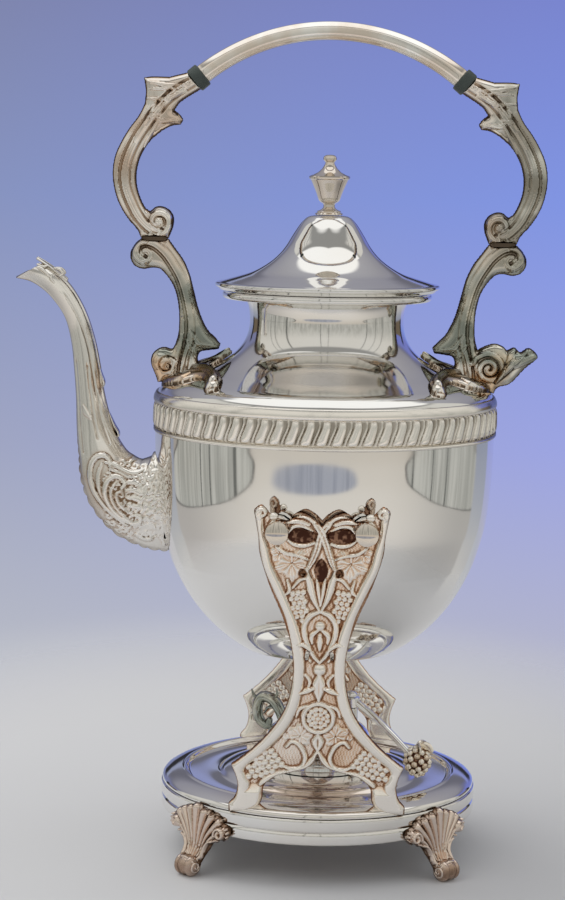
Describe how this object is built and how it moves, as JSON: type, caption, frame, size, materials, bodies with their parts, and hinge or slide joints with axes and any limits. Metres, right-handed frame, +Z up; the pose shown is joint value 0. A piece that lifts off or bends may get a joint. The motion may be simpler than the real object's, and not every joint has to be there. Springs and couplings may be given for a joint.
{
  "type": "tea kettle on stand",
  "caption": "Silver-plated tea kettle with a fixed arched handle, tilting between pierced cast panels on a footed round stand over a spirit burner with a snuffer.",
  "frame": {"origin": "under the middle of the whole object's bounding box, on the surface it stands on", "axes": "+Z up, the spout points to -X, the front panel faces -Y"},
  "size_m": [0.218, 0.1568, 0.3426],
  "materials": {
    "polished_silver": "polished silver plate",
    "cast_silver": "cast silver plate with brown tarnish in the hollows",
    "insulator_fibre": "dark matt fibre",
    "wick_cotton": "braided cotton"
  },
  "bodies": {
    "stand": {"base_tray": "polished_silver", "base_rim": "polished_silver", "foot_front_left": "cast_silver", "foot_front_right": "cast_silver", "foot_rear_left": "cast_silver", "foot_rear_right": "cast_silver", "burner_seat_ring": "polished_silver", "panel_front": "cast_silver", "panel_rear": "cast_silver", "hinge_pin_front": "polished_silver", "hinge_pin_rear": "polished_silver"},
    "front_lock_pin": {"lock_pin_front": "polished_silver"},
    "rear_lock_pin": {"lock_pin_rear": "polished_silver"},
    "kettle": {"kettle_bowl": "polished_silver", "kettle_shoulder": "polished_silver", "gadroon_belt": "polished_silver", "mouth_ring": "polished_silver", "hinge_boss_front": "polished_silver", "hinge_boss_rear": "polished_silver", "rest_boss_front": "polished_silver", "rest_boss_rear": "polished_silver", "spout": "polished_silver", "lid_hinge_bracket": "polished_silver", "lid_hinge_pin": "polished_silver", "handle_leg_left": "cast_silver", "handle_leg_right": "cast_silver", "handle_arm_left": "cast_silver", "handle_arm_right": "cast_silver", "handle_insulator_left": "insulator_fibre", "handle_insulator_right": "insulator_fibre", "handle_grip": "polished_silver"},
    "lid": {"lid": "polished_silver", "lid_hinge_tongue": "polished_silver", "finial": "polished_silver", "finial_nut": "polished_silver"},
    "burner": {"burner_font": "polished_silver", "burner_collar": "polished_silver", "wick": "wick_cotton", "burner_handle": "cast_silver", "snuffer_post": "polished_silver"},
    "snuffer": {"snuffer_lever": "polished_silver", "snuffer_cap": "polished_silver", "snuffer_knob": "cast_silver"}
  },
  "joints": [
    {"name": "kettle_tilt", "type": "hinge", "parent": "stand", "child": "kettle", "pos_m": [0.0027, 0, 0.1438], "axis": [0, -1, 0], "range_deg": [0, 55]},
    {"name": "lid_hinge", "type": "hinge", "parent": "kettle", "child": "lid", "pos_m": [0.02, 0.0485, 0.2347], "axis": [-1, 0, 0], "range_deg": [0, 100]},
    {"name": "front_lock_pull", "type": "slide", "parent": "stand", "child": "front_lock_pin", "axis": [0, -1, 0], "range_m": [0, 0.012]},
    {"name": "rear_lock_pull", "type": "slide", "parent": "stand", "child": "rear_lock_pin", "axis": [0, 1, 0], "range_m": [0, 0.012]},
    {"name": "burner_lift", "type": "slide", "parent": "stand", "child": "burner", "axis": [0, 0, 1], "range_m": [0, 0.006]},
    {"name": "snuffer_swing", "type": "hinge", "parent": "burner", "child": "snuffer", "pos_m": [0.03312, -0.00727, 0.06], "axis": [0, 0, 1], "range_deg": [-60, 60]}
  ]
}
